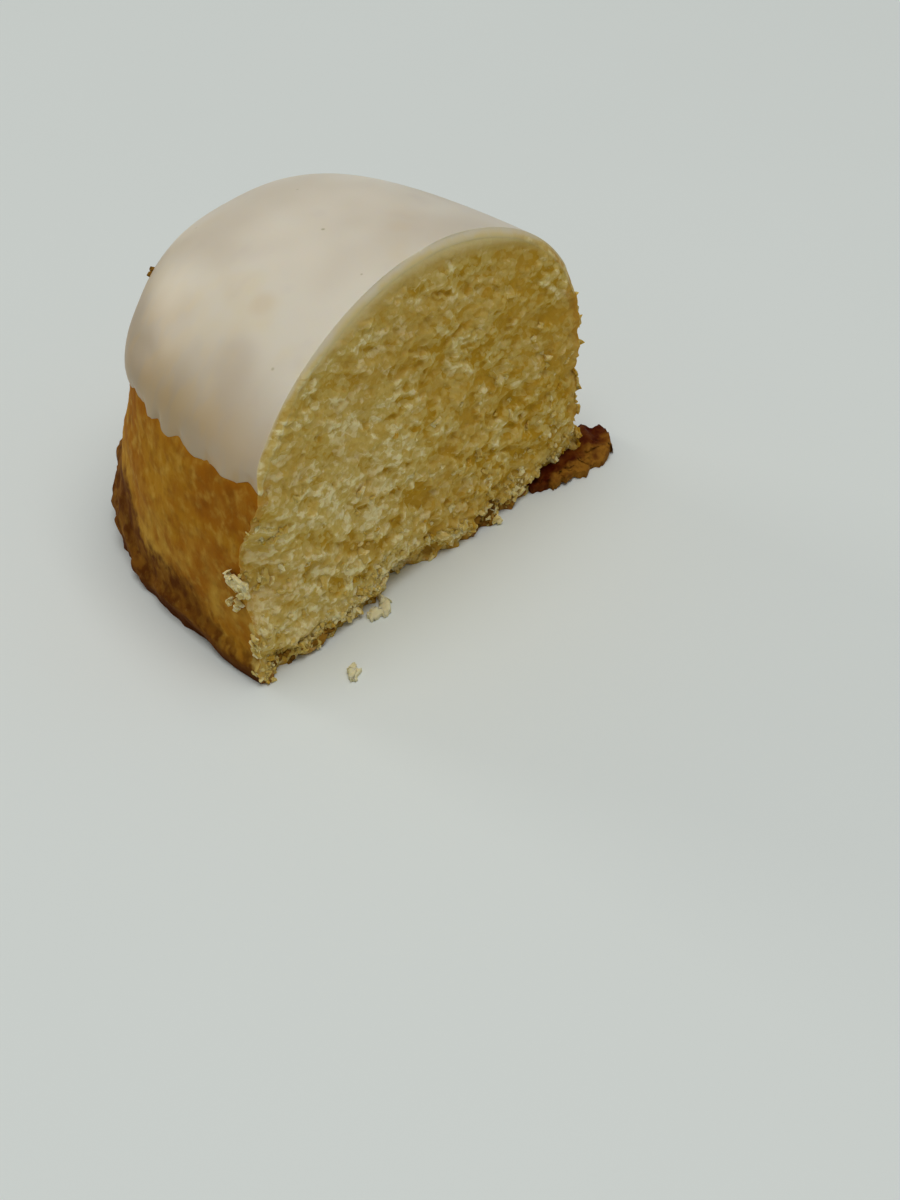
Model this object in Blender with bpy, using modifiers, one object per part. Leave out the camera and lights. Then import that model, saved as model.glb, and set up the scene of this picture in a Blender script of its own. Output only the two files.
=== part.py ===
"""Half of a small iced lemon cake, cut straight across and standing on its base.

Lengths are in metres, +Z is up and the table is z = 0. The origin is the middle of the base.
The cut face looks along -Y and the baked, rounded end of the cake points along +Y.
"""
import math

import bpy
import bmesh
from mathutils import Vector, noise

MM = 0.001

# The baked form: a squarish oval, cut a little off its middle
HALF_WIDTH = 27.0 * MM        # across the cake, at the base
HALF_LENGTH = 44.1 * MM       # along the uncut cake, at the base
PLAN_POWER = 2.65             # 2 is an ellipse, higher is squarer
WHOLE_HEIGHT = 40.1 * MM      # with the icing
WALL_HEIGHT = 20.5 * MM       # where the wall turns into the dome
SIDE_SHOULDER = 0.98          # width left at the top of the wall, over the cut
END_SHOULDER = 0.875          # and at the rounded end
SIDE_DOME_POWER = 1.87        # dome profile across the cake
END_DOME_POWER = 3.19         # and along it, which is fuller
WALL_BULGE = 0.015            # how far the wall bellies out, as a part of the radius
PLAN_SKEW = 0.066             # sideways run of the cake for its length, as the cut is askew

# Where the cut and the origin lie
CUT_FROM_MIDDLE = 3.64 * MM   # from the middle of the whole cake to the cut
CUT_FROM_ORIGIN = 19.0 * MM   # from the middle of this half's base to the cut
MIDDLE_Y = -CUT_FROM_ORIGIN - CUT_FROM_MIDDLE

# The icing over the dome
ICING_THICKNESS = 0.95 * MM
ICING_GAP = 0.28 * MM         # clearance between the two solids
HEM_HEIGHT = 24.1 * MM        # height of the icing's lower edge at the cut
HEM_END_DROP = 4.0 * MM       # how much lower it hangs round the end
HEM_SWELL = 0.7 * MM          # long waves of that edge
HEM_DRIPS = 1.5 * MM          # short drips of that edge
HEM_REACH = 6.5 * MM          # how far up the waves still move the icing
HEM_LIP = 0.55                # how far the edge hangs below its corners, in thicknesses
HEM_SINK = 0.12               # how far its outer corner is drawn in, in thicknesses

# The browned wall below it
WALL_INSET = 0.35 * MM        # the wall stands this far inside the icing's face
UNDER_ICING = ICING_THICKNESS + ICING_GAP
WALL_TUCK = 11.0 * MM         # from here up, less the drop, it draws in under the icing
WALL_LUMPS = 0.22 * MM
WALL_LUMP_PITCH = 3.2 * MM
RIM_HEIGHT = 3.0 * MM         # browned lip along the sides
RIM_END_HEIGHT = 9.3 * MM     # and round the end, where it climbs
RIM_CLIMB = (math.sin(math.radians(32)), math.sin(math.radians(47)))
RIM_SWELL = 0.9 * MM          # rise and fall of its top
RIM_DEPTH = 0.7 * MM          # how far the lip stands out along the sides
RIM_END_DEPTH = 0.35 * MM     # and round the end, before the oval stretches it
RIM_RAGGED = 0.6 * MM         # its lumps
RIM_RAGGED_PITCH = 2.4 * MM
RIM_NICKS = 0.3 * MM          # and the small nicks in it
FOOT_TUCK = 0.45 * MM         # the lip draws in where it meets the table
FOOT_HEIGHT = 1.6 * MM

# The torn cut face
GRAIN_PITCH = 2.3 * MM
CLUMP_PITCH = 6.5 * MM
GRAIN_DEPTH = 0.42 * MM
CLUMP_DEPTH = 0.55 * MM
PORE_SLANT = math.radians(-24)  # the pores run down to the right
CUT_CELL = 1.12 * MM
HOLLOW_MIDDLE = -3.2 * MM     # torn out hollow along the foot of the cut
HOLLOW_HALF_WIDTH = 6.5 * MM
HOLLOW_HEIGHT = 3.6 * MM
HOLLOW_DEPTH = 2.2 * MM
CORNER_BACK = 2.4 * MM        # the left corner of the cut has crumbled back
CORNER_WIDTH = 5.5 * MM
CORNER_FOOT = (5.0 * MM, 12.0 * MM)   # heights over which the wear starts
CORNER_TOP = (16.0 * MM, 23.0 * MM)   # and over which it ends

# The scrap of bottom crust that sticks out at the back corner of the cut
TAB_LENGTH = 14.0 * MM
TAB_WIDTH = 7.4 * MM
TAB_THICKNESS = 1.5 * MM
TAB_LIFT = 0.70 * MM
TAB_PLACE = (25.1 * MM, -CUT_FROM_ORIGIN + 0.6 * MM)
TAB_TURN = math.radians(-3)
TAB_ROUNDING = 0.55           # how far its corners are drawn in
TAB_THINNING = 0.35           # how much thinner its long edges are
TAB_RAGGED = 0.9 * MM         # pull on its outline
TAB_SWELL = 0.35 * MM         # and on its faces

SPONGE_STEPS = 144            # facets round the whole turn
ICING_STEPS = 204
ROW_SPREAD = 1.05             # above 1 the dome's rows are closer together near its foot

# Heights of the rows of the wall, from the table up
SPONGE_LEVELS = [level * MM for level in (0.0, 0.9, 1.9, 3.1, 4.6, 6.4, 8.4, 10.6, 12.9, 15.2, 17.4, 19.2)]
CUTTER_DEPTH = 70.0 * MM
CUTTER_SPAN = 64.0 * MM
CUTTER_HEIGHT = 46.0 * MM
CUTTER_FOOT = -2.0 * MM


def empty_scene():
    for thing in list(bpy.data.objects):
        bpy.data.objects.remove(thing)


def new_collection(name):
    group = bpy.data.collections.new(name)
    bpy.context.scene.collection.children.link(group)
    return group


def coloured(name, colour, roughness):
    finish = bpy.data.materials.new(name)
    finish.use_nodes = True
    shader = finish.node_tree.nodes["Principled BSDF"]
    shader.inputs["Base Color"].default_value = (*colour, 1.0)
    shader.inputs["Roughness"].default_value = roughness
    shader.inputs["Metallic"].default_value = 0.0
    return finish


def ease(low, high, value):
    """0 below low, 1 above high, and a smooth rise between them."""
    share = min(1.0, max(0.0, (value - low) / (high - low)))
    return share * share * (3.0 - 2.0 * share)


def wave(angle, count, row):
    """Even noise round the cake that meets itself after a full turn."""
    ring = count / (2.0 * math.pi)
    return noise.noise(Vector((ring * math.cos(angle), ring * math.sin(angle), row)))


# ---------------------------------------------------------------- the turned form

def wall_radius(height, shoulder):
    share = height / WALL_HEIGHT
    return 1.0 + (shoulder - 1.0) * share + WALL_BULGE * math.sin(math.pi * share)


def form_radius(height, shoulder, power):
    """The form's radius as a part of the base's, for the side or the end profile."""
    if height <= WALL_HEIGHT:
        return wall_radius(height, shoulder)
    rise = min(0.97, (height - WALL_HEIGHT) / (WHOLE_HEIGHT - WALL_HEIGHT))
    return shoulder * (1.0 - rise ** power) ** (1.0 / power)


def dome_point(angle, inset):
    """A point of the dome's side profile, set in square to its face."""
    across = SIDE_SHOULDER * HALF_WIDTH
    up = WHOLE_HEIGHT - WALL_HEIGHT
    bow = 2.0 / SIDE_DOME_POWER
    flat = math.cos(angle) ** bow
    tall = math.sin(angle) ** bow
    slope = Vector((math.cos(angle) ** (2.0 - bow) / across, math.sin(angle) ** (2.0 - bow) / up))
    slope.normalize()
    return (max(0.0, across * flat - inset * slope.x), WALL_HEIGHT + up * tall - inset * slope.y)


def dome_profile(inset, first, count):
    """Points from the crown down to the dome angle called first."""
    steps = [first + (math.pi / 2.0 - first) * (i / count) ** ROW_SPREAD for i in range(count, 0, -1)]
    points = [dome_point(angle, inset) for angle in steps + [first]]
    points[0] = (0.0, WHOLE_HEIGHT - inset)
    return points


def angle_at(height, inset):
    """The dome angle whose inset point lies at a height, by halving."""
    low, high = 0.0, math.pi / 2.0
    for _ in range(40):
        middle = 0.5 * (low + high)
        if dome_point(middle, inset)[1] < height:
            low = middle
        else:
            high = middle
    return low


def turned(name, profile, steps, group):
    """A closed solid from an outline that starts and ends on the axis."""
    mesh = bpy.data.meshes.new(name)
    mesh.from_pydata([(r, 0.0, z) for r, z in profile], [(i, i + 1) for i in range(len(profile) - 1)], [])
    piece = bpy.data.objects.new(name, mesh)
    group.objects.link(piece)
    screw = piece.modifiers.new("turn", "SCREW")
    screw.axis = "Z"
    screw.steps = steps
    screw.render_steps = steps
    screw.use_merge_vertices = True
    screw.merge_threshold = 0.00001
    bpy.context.view_layer.update()
    graph = bpy.context.evaluated_depsgraph_get()
    piece.data = bpy.data.meshes.new_from_object(piece.evaluated_get(graph))
    piece.data.name = name
    piece.modifiers.clear()
    bpy.data.meshes.remove(mesh)
    return piece


def pressed_oval(point):
    """Takes a point of the round, turned cake to its place in the squarish oval one."""
    radius = math.hypot(point.x, point.y) / HALF_WIDTH
    if radius < 1e-6:
        return Vector((PLAN_SKEW * -CUT_FROM_MIDDLE, 0.0, point.z))
    angle = math.atan2(point.y, point.x)
    cosine, sine = math.cos(angle), math.sin(angle)
    height = max(0.0, min(point.z, WHOLE_HEIGHT))
    end = form_radius(height, END_SHOULDER, END_DOME_POWER)
    side = form_radius(height, SIDE_SHOULDER, SIDE_DOME_POWER)
    fullness = 1.0 + (end / side - 1.0) * sine * sine
    bow = 2.0 / PLAN_POWER
    along = HALF_LENGTH * radius * fullness * math.copysign(abs(sine) ** bow, sine)
    across = HALF_WIDTH * radius * fullness * math.copysign(abs(cosine) ** bow, cosine)
    return Vector((across + PLAN_SKEW * (along - CUT_FROM_MIDDLE), along, point.z))


def reshape(piece, *moves):
    """Runs every vertex through the moves, one after the other."""
    for vertex in piece.data.vertices:
        place = vertex.co.copy()
        for move in moves:
            place = move(place)
        vertex.co = place
    piece.location = (0.0, MIDDLE_Y, 0.0)


# ---------------------------------------------------------------- the sponge

def rim_top(angle):
    """Height of the browned lip, which climbs towards the rounded end."""
    climb = ease(*RIM_CLIMB, math.sin(angle))
    return RIM_HEIGHT + (RIM_END_HEIGHT - RIM_HEIGHT) * climb + RIM_SWELL * wave(angle, 22, 3.1)


def hem_drop(angle):
    """How much lower the icing's edge hangs than at the cut."""
    side = abs(math.sin(angle))
    return 0.5 * HEM_END_DROP * (side + ease(0.5, 0.8, side))


def browned_wall(point):
    """Lumps on the wall, its tuck under the icing, and the ragged lip round its foot."""
    radius = math.hypot(point.x, point.y)
    if radius < 0.5 * HALF_WIDTH or point.z > 0.98 * WALL_HEIGHT:
        return point
    angle = math.atan2(point.y, point.x)
    place = Vector((math.cos(angle) * 6.0, math.sin(angle) * 6.0, point.z / WALL_LUMP_PITCH))
    lumps = WALL_LUMPS * noise.noise(place) * (1.0 - ease(0.8 * WALL_HEIGHT, WALL_HEIGHT, point.z))
    drop = hem_drop(angle)
    tuck = (UNDER_ICING - WALL_INSET) * ease(WALL_TUCK - drop, WALL_HEIGHT - drop, point.z)
    top = rim_top(angle)
    lip = 1.0 - ease(0.72 * top, 1.1 * top, point.z)
    reach = RIM_DEPTH + (RIM_END_DEPTH - RIM_DEPTH) * math.sin(angle) ** 2
    ragged = RIM_RAGGED * wave(angle, 46, point.z / RIM_RAGGED_PITCH) + RIM_NICKS * wave(angle, 90, 7.7)
    foot = FOOT_TUCK * (1.0 - ease(0.0, FOOT_HEIGHT, point.z))
    grown = radius + lumps - tuck + lip * (reach + ragged) - foot
    return Vector((point.x * grown / radius, point.y * grown / radius, point.z))


def sponge_profile():
    """Crown, dome and wall of the crumb's turned outline, then its flat base."""
    profile = dome_profile(UNDER_ICING, 0.0, 12)
    for height in reversed(SPONGE_LEVELS):
        profile.append((HALF_WIDTH * wall_radius(height, SIDE_SHOULDER) - WALL_INSET, height))
    profile.append((0.0, 0.0))
    return profile


def torn_depth(across, height):
    """How far the crumb stands back from the plane of the cut."""
    run = across * math.cos(PORE_SLANT) + height * math.sin(PORE_SLANT)
    rise = height * math.cos(PORE_SLANT) - across * math.sin(PORE_SLANT)
    grains = GRAIN_DEPTH * noise.noise(Vector((run / GRAIN_PITCH * 0.7, rise / GRAIN_PITCH, 0.4)))
    clumps = CLUMP_DEPTH * noise.noise(Vector((run / CLUMP_PITCH * 0.7, rise / CLUMP_PITCH, 5.2)))
    from_middle = (across - HOLLOW_MIDDLE) / HOLLOW_HALF_WIDTH
    scoop = ease(0.0, 1.0, 1.0 - abs(from_middle)) * (1.0 - ease(0.45, 1.0, height / HOLLOW_HEIGHT))
    edge = ease(0.0, 1.0, (CORNER_WIDTH - HALF_WIDTH - across) / CORNER_WIDTH)
    worn = ease(*CORNER_FOOT, height) * (1.0 - ease(*CORNER_TOP, height))
    return grains + clumps + HOLLOW_DEPTH * scoop + CORNER_BACK * edge * worn


def cut_block(name, cell, depth, group, finish):
    """A block over the part of the cake that is gone; its face is the cut."""
    bpy.ops.mesh.primitive_grid_add(x_subdivisions=round(CUTTER_SPAN / cell),
                                    y_subdivisions=round(CUTTER_HEIGHT / cell), size=1.0)
    block = bpy.context.object
    block.name = name
    mesh = bmesh.new()
    mesh.from_mesh(block.data)
    for vertex in mesh.verts:
        across = vertex.co.x * CUTTER_SPAN
        height = (vertex.co.y + 0.5) * CUTTER_HEIGHT + CUTTER_FOOT
        vertex.co = (across, -CUT_FROM_ORIGIN + depth(across, height), height)
    front = list(mesh.faces)
    back = bmesh.ops.extrude_face_region(mesh, geom=front, use_keep_orig=True)["geom"]
    for vertex in (item for item in back if isinstance(item, bmesh.types.BMVert)):
        vertex.co.y = -CUTTER_DEPTH
    bmesh.ops.recalc_face_normals(mesh, faces=mesh.faces)
    bmesh.ops.triangulate(mesh, faces=mesh.faces)
    mesh.to_mesh(block.data)
    mesh.free()
    block.data.materials.append(finish)
    hide_tool(block, group)
    return block


def hide_tool(tool, group):
    for owner in list(tool.users_collection):
        owner.objects.unlink(tool)
    group.objects.link(tool)
    tool.hide_render = True
    tool.display_type = "WIRE"


def combine(piece, tool, operation):
    step = piece.modifiers.new(operation.lower(), "BOOLEAN")
    step.operation = operation
    step.solver = "EXACT"
    step.material_mode = "TRANSFER"
    step.object = tool


def crust_tab(group, finish):
    """The ragged scrap of bottom crust, a flat block pulled out of shape."""
    bpy.ops.mesh.primitive_cube_add(size=1.0)
    tab = bpy.context.object
    tab.name = "crust_tab"
    mesh = bmesh.new()
    mesh.from_mesh(tab.data)
    bmesh.ops.subdivide_edges(mesh, edges=mesh.edges, cuts=7, use_grid_fill=True)
    for vertex in mesh.verts:
        across, along, up = vertex.co
        outline = 1.0 - TAB_ROUNDING * (abs(across) * 2.0) ** 3 * abs(along)
        ragged = TAB_RAGGED * noise.noise(Vector((across * 5.0, along * 5.0, 2.0)))
        thick = TAB_THICKNESS * (1.0 - TAB_THINNING * (abs(along) * 2.0) ** 2)
        swell = TAB_SWELL * noise.noise(Vector((across * 4.0, along * 4.0, 9.0)))
        vertex.co.x = across * TAB_LENGTH * outline + ragged
        vertex.co.y = along * TAB_WIDTH * outline + ragged
        vertex.co.z = (up + 0.5) * thick + swell
    bmesh.ops.triangulate(mesh, faces=mesh.faces)
    mesh.to_mesh(tab.data)
    mesh.free()
    tab.location = (*TAB_PLACE, TAB_LIFT)
    tab.rotation_euler.z = TAB_TURN
    tab.data.materials.append(finish)
    hide_tool(tab, group)
    return tab


def make_sponge(parts, tools, crust, crumb):
    sponge = turned("sponge", sponge_profile(), SPONGE_STEPS, parts)
    reshape(sponge, browned_wall, pressed_oval)
    sponge.data.materials.append(crust)
    combine(sponge, cut_block("torn_cut", CUT_CELL, torn_depth, tools, crumb), "DIFFERENCE")
    combine(sponge, crust_tab(tools, crust), "UNION")
    smooth(sponge, 40.0)


# ---------------------------------------------------------------- the icing

def hem_shift(angle):
    """Long swells and short drips of the icing's lower edge, and its drop round the end."""
    drips = abs(wave(angle, 62, 1.3)) - 0.25
    return HEM_SWELL * wave(angle, 26, 8.2) - HEM_DRIPS * drips - hem_drop(angle)


def dripping_hem(point):
    """Moves the foot of the icing up and down along the dome's own slope."""
    radius = math.hypot(point.x, point.y)
    if radius < 1e-6:
        return point
    hold = 1.0 - ease(HEM_HEIGHT, HEM_HEIGHT + HEM_REACH, point.z)
    height = point.z + hem_shift(math.atan2(point.y, point.x)) * hold
    before = HALF_WIDTH * form_radius(point.z, SIDE_SHOULDER, SIDE_DOME_POWER)
    after = HALF_WIDTH * form_radius(height, SIDE_SHOULDER, SIDE_DOME_POWER)
    grown = (radius + after - before) / radius
    return Vector((point.x * grown, point.y * grown, height))


def icing_profile():
    """The icing's turned outline: over its face, round the hem and back inside."""
    first = angle_at(HEM_HEIGHT, 0.0)
    face = dome_profile(0.0, first, 11)
    inside = dome_profile(ICING_THICKNESS, angle_at(HEM_HEIGHT, ICING_THICKNESS), 9)
    outer, inner = Vector(face[-1]), Vector(inside[-1])
    middle = (outer + inner) / 2.0
    lip = middle + Vector((0.0, -HEM_LIP * ICING_THICKNESS))
    face[-1] = tuple(outer + Vector((-HEM_SINK * ICING_THICKNESS, 0.0)))
    return face + [tuple(lip)] + list(reversed(inside))


def straight_cut(across, height):
    return 0.12 * MM * noise.noise(Vector((across / (9.0 * MM), height / (9.0 * MM), 0.0)))


def make_icing(parts, tools, finish):
    icing = turned("icing", icing_profile(), ICING_STEPS, parts)
    reshape(icing, dripping_hem, pressed_oval)
    icing.data.materials.append(finish)
    combine(icing, cut_block("clean_cut", 6.0 * MM, straight_cut, tools, finish), "DIFFERENCE")
    smooth(icing, 35.0)


def smooth(piece, degrees):
    piece.data.shade_smooth()
    piece.data.set_sharp_from_angle(angle=math.radians(degrees))


def make_cake():
    empty_scene()
    parts = new_collection("lemon_cake_half")
    tools = new_collection("cutters")
    crust = coloured("browned crust", (0.42, 0.20, 0.045), 0.7)
    crumb = coloured("yellow crumb", (0.62, 0.45, 0.13), 0.9)
    icing = coloured("lemon icing", (0.80, 0.74, 0.60), 0.35)
    make_sponge(parts, tools, crust, crumb)
    make_icing(parts, tools, icing)


make_cake()
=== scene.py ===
"""Half of a small iced lemon cake, dressed: torn crumb, browned wall, icing and crumbs.

Lengths are in metres unless a name says otherwise, +Z is up and the table is z = 0.
The cut face looks along -Y and the baked, rounded end of the cake points along +Y.
"""
import math

import bpy
import numpy as np
from mathutils import Matrix, Vector, noise
from mathutils.bvhtree import BVHTree
from mathutils.kdtree import KDTree


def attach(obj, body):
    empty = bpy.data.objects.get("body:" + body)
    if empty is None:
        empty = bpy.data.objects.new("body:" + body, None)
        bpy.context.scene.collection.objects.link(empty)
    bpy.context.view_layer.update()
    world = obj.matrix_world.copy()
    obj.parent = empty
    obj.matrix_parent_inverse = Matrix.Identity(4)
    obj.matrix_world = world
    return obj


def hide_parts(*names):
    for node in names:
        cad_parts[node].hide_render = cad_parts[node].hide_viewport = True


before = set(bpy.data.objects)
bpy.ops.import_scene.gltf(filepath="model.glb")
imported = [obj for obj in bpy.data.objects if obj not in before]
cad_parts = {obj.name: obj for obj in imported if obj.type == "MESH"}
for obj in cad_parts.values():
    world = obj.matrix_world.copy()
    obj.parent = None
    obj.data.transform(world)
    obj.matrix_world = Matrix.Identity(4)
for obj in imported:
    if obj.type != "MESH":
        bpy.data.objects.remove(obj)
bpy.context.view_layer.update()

MM = 0.001


def mm(*values):
    return tuple(value * MM for value in values)


# The baked form, as the solids have it
HALF_WIDTH, HALF_LENGTH = mm(27.0, 44.1)
PLAN_POWER = 2.65
WHOLE_HEIGHT, WALL_HEIGHT = mm(40.1, 20.5)
DOME_HEIGHT = WHOLE_HEIGHT - WALL_HEIGHT
SIDE_SHOULDER = 0.98
END_SHOULDER = 0.875
SIDE_DOME_POWER = 1.87
END_DOME_POWER = 3.19
WALL_BULGE = 0.015
PLAN_SKEW = 0.066
CUT_FROM_MIDDLE = 3.64 * MM
CUT_Y = -19.0 * MM
MIDDLE_Y = CUT_Y - CUT_FROM_MIDDLE

# Icing
ICING_THICKNESS = 0.95 * MM
HEM_HEIGHT = 24.1 * MM
HEM_END_DROP = 4.0 * MM       # it hangs this much lower round the end
HEM_SWELL = 0.7 * MM
HEM_TEETH = 2.0 * MM
HEM_LOBES = 30.5
HEM_BEAD = 0.42 * MM
HEM_REACH, HEM_SINK, HEM_TAPER = mm(6.5, 0.45, 3.5)
THIN_AND_SHADE_FROM = 38.0 * MM         # below this height the icing darkens more and more, as the crust shows through and as painted shade where the dome turns from the light,
THIN_AND_SHADE_TO = 26.5 * MM           # and most below this one;
THIN_AND_SHADE_SPARED = 3.5 * MM        # beside the cut both lie this much lower
CUT_ROUNDING, CUT_ROUNDING_DEPTH = mm(1.5, 0.55)

# Specks in the icing: place, radius, colour, and how strong it is
SPECK_OLIVE = (0.42, 0.36, 0.20)
SPECK_AMBER = (0.66, 0.50, 0.30)
ICING_SPECKS = ((mm(-5.2, 8.5, 35.3), 0.32 * MM, SPECK_OLIVE, 0.8),
                (mm(-2.1, -7.4, 39.7), 0.30 * MM, SPECK_OLIVE, 0.8),
                (mm(3.9, 2.0, 38.3), 0.28 * MM, SPECK_OLIVE, 0.8),
                (mm(-6.1, -16.4, 39.6), 0.22 * MM, SPECK_OLIVE, 0.8),
                (mm(-18.3, -15.1, 33.9), 0.30 * MM, SPECK_OLIVE, 0.8),
                (mm(9.5, -3.0, 38.8), 0.22 * MM, SPECK_OLIVE, 0.8),
                (mm(17.0, 1.5, 33.0), 0.28 * MM, SPECK_OLIVE, 0.8),
                (mm(4.0, 14.5, 30.0), 0.24 * MM, SPECK_OLIVE, 0.8),
                (mm(-13.4, -9.0, 37.0), 2.2 * MM, SPECK_AMBER, 0.30),
                (mm(3.0, -13.5, 40.0), 1.8 * MM, SPECK_AMBER, 0.18))

# Browned wall and the lip at its foot
WALL_INSET, WALL_LUMPS, WALL_PITS = mm(0.35, 0.22, 0.06)
RIM_HEIGHT, RIM_END_HEIGHT = mm(3.0, 9.3)
RIM_DEPTH, RIM_END_DEPTH, RIM_RAGGED = mm(0.7, 0.35, 0.6)
BROWN_CORNER = 3.0 * MM       # the darkest baking reaches this high at the corners of the cut,
BROWN_SIDE = 6.6 * MM         # this high along the sides
BROWN_END = 11.0 * MM         # and this high round the end

# Torn crumb
CLUMP_PITCH, CLUMP_DEPTH = mm(6.5, 0.55)
TUFT_PITCH, TUFT_DEPTH = mm(2.2, 0.42)
FOOT_RAGGED = 1.0 * MM        # the foot of the torn face is the most uneven
PORE_SLANT = math.radians(-24)
# Lumps of the crumb, from large to small: pitch, how far they stand out or back, tilt, and groove
CRUMB_LUMPS = ((1.30 * MM, 0.24 * MM, 0.30, 0.05 * MM),
               (0.72 * MM, 0.18 * MM, 0.42, 0.06 * MM),
               (0.42 * MM, 0.09 * MM, 0.38, 0.02 * MM))
FINER = 1.3                   # the lower crumb's lumps are this much smaller
PALE_SHARE = 0.42             # of the lumps, those that stand out as pale flecks, their paleness partly painted light
POCKET_DEPTH = 0.50 * MM      # smooth pockets between the pale lumps, their amber partly painted shade
POCKET_START = -0.22
STRAND_STRETCH = 1.9          # lumps in the upper crumb are this much longer than wide
HOLLOW_MIDDLE, HOLLOW_HALF_WIDTH, HOLLOW_HEIGHT, HOLLOW_DEPTH = mm(-3.2, 6.5, 3.6, 2.2)
CORNER_BACK, CORNER_WIDTH = mm(2.4, 5.5)

# These three tables are in millimetres.
# Clumps of crumbs that hang over the foot of the cut: place along it, height and how many
FOOT_CLUMPS = ((-24.6, 1.4, 30), (-20.8, 1.2, 34), (-17.4, 1.5, 34),
               (-13.6, 1.8, 30), (-9.4, 2.4, 34), (-8.0, 3.8, 26),
               (1.6, 2.6, 30), (4.8, 1.8, 30), (10.8, 1.6, 30),
               (15.2, 1.8, 34), (18.6, 1.8, 30), (22.4, 2.4, 26))
# Crumbs smeared onto the wall: side, place along it, height, spread both ways, how many, tone
WALL_SMEARS = ((-1, -17.2, 12.0, 0.45, 0.6, 8, 0.5),
               (-1, -18.5, 17.0, 0.3, 1.4, 5, 0.3),
               (-1, -18.5, 4.0, 0.3, 1.8, 14, 0.3),
               (1, -18.2, 15.6, 0.4, 0.6, 16, -0.1),
               (1, -18.0, 20.5, 0.4, 1.6, 26, -0.2),
               (1, -18.0, 9.0, 0.4, 2.4, 26, -0.1),
               (1, -18.2, 3.0, 0.5, 1.4, 18, -0.3))
# Bits of browned bottom crust at the foot of the cut: place along it, spread, and how many
BROWN_BITS = ((-17.2, 1.1, 16), (8.6, 1.0, 14), (13.4, 1.2, 18), (-22.8, 0.8, 7))

# Loose flakes at the foot, and those smeared flat onto the wall: size, place, turn in degrees
LOOSE_FLAKES = ((mm(1.3, 2.3, 0.8), mm(-19.5, -25.2, 0.0), -46),
                (mm(0.7, 0.8, 0.5), mm(-20.3, -25.6, 0.0), 70),
                (mm(3.2, 1.6, 0.8), mm(-10.1, -20.4, 0.0), -12),
                (mm(1.5, 1.2, 0.8), mm(-8.5, -19.6, 0.0), 40))
WALL_FLAKES = ((mm(1.5, 2.5, 0.5), mm(-26.75, -16.6, 12.3), 10),
               (mm(1.2, 0.9, 0.6), mm(-26.75, -15.3, 13.0), 70),
               (mm(1.5, 1.1, 0.7), mm(-26.75, -17.2, 11.6), -30),
               (mm(1.2, 1.0, 0.6), mm(-26.8, -16.3, 9.5), 10),
               (mm(0.7, 1.0, 0.6), mm(-26.8, -15.2, 9.6), 50))
# The small brown crumb on the dome, of two lumps
DOME_CRUMBS = (mm(-9.15, 12.45, 30.1), mm(-8.5, 12.7, 30.35))
DOME_CRUMB_SIZE = 0.33 * MM
# The scrap of bottom crust at the cut's corner
SCRAP_SIZE = mm(14.0, 7.4, 1.5)
SCRAP_PLACE = (25.1 * MM, CUT_Y + 0.6 * MM, 0.1 * MM)
SCRAP_TURN = math.radians(-3)

# Lumps of crumb; sizes are in millimetres, and those of smeared ones go by their side
LUMP_SIDES, LUMP_RINGS = 7, 5
LUMP_ROUGHNESS = 0.9
LUMP_TILT = 0.4
CLINGING_SIZE = 0.28
CLUMPED_SIZE = 0.24
SMEARED_SIZES = {-1: 0.36, 1: 0.40}
SMEARED_SINK = {-1: 0.1, 1: 0.25}
BIT_SIZE = 0.42
OUTSIDE = 60.0 * MM           # well clear of the cake
TORN_BACK = CUT_Y + 4.0 * MM  # the torn face lies in front of this
WALL_FROM = 22.0 * MM         # and the side walls lie farther out than this
TABLE_GAP = 0.02 * MM

# Colours of the crumb, from deep pockets (partly painted shade) to pale flecks (partly painted light), under the
# icing, and at the rind
CRUMB_AMBER_AND_SHADED = (0.52, 0.29, 0.018)
CRUMB_MIDDLE = (0.645, 0.465, 0.125)
CRUMB_PALE_AND_LIT = (0.86, 0.74, 0.40)
CRUMB_GOLDEN = (0.56, 0.33, 0.05)
CRUMB_SHADE = (0.86, 0.80, 0.62)
CRUMB_SOAKED = (0.74, 0.58, 0.26)
CRUMB_CLOSE = (0.59, 0.40, 0.11)
RIND_TAN = (0.58, 0.35, 0.07)
RIND_AMBER = (0.47, 0.23, 0.02)
BOTTOM_BROWN = (0.27, 0.10, 0.018)
FLAKE_COLOURS = (0.68, 0.60, 0.33), (0.82, 0.77, 0.53)
# Of the browned wall, its lip, and the scraps
CRUST_COLOURS = (0.35, 0.120, 0.005), (0.44, 0.195, 0.010)
CRUST_GOLDEN = (0.50, 0.265, 0.034)
CRUST_STREAK = (0.60, 0.34, 0.045)
CRUST_SPOT = (0.60, 0.36, 0.06)
CRUST_DULL = (0.26, 0.08, 0.003)
LIP_COLOURS = (0.10, 0.027, 0.002), (0.21, 0.080, 0.007)
LIP_SPECK = (0.40, 0.21, 0.05)
FOOT_DARK = (0.085, 0.022, 0.005)
SCRAP_COLOURS = (0.06, 0.006, 0.0006), (0.13, 0.032, 0.003)
SCRAP_GOLDEN = (0.30, 0.13, 0.014)
BIT_COLOURS = (0.15, 0.065, 0.006), (0.34, 0.17, 0.02)
# Of the icing, with its tints for the crust beneath together with painted shade down the dome, the runs and the
# clouds
ICING_COLOURS = (0.655, 0.575, 0.455), (0.765, 0.695, 0.57)
CRUST_THROUGH_AND_SHADE = (0.66, 0.48, 0.24), (0.56, 0.45, 0.30)
RUN_TINTS = (0.95, 0.955, 0.99), (1.03, 0.98, 0.86)
YELLOW_CLOUD = (1.0, 0.93, 0.76)
GREY_CLOUD = (0.90, 0.88, 0.93)
HEM_TAN = (0.52, 0.33, 0.14)
SLICED_COLOURS = (0.72, 0.64, 0.48), (0.68, 0.57, 0.35)
FLOOR_COLOURS = (0.76, 0.80, 0.775), (0.78, 0.82, 0.795)

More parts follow.
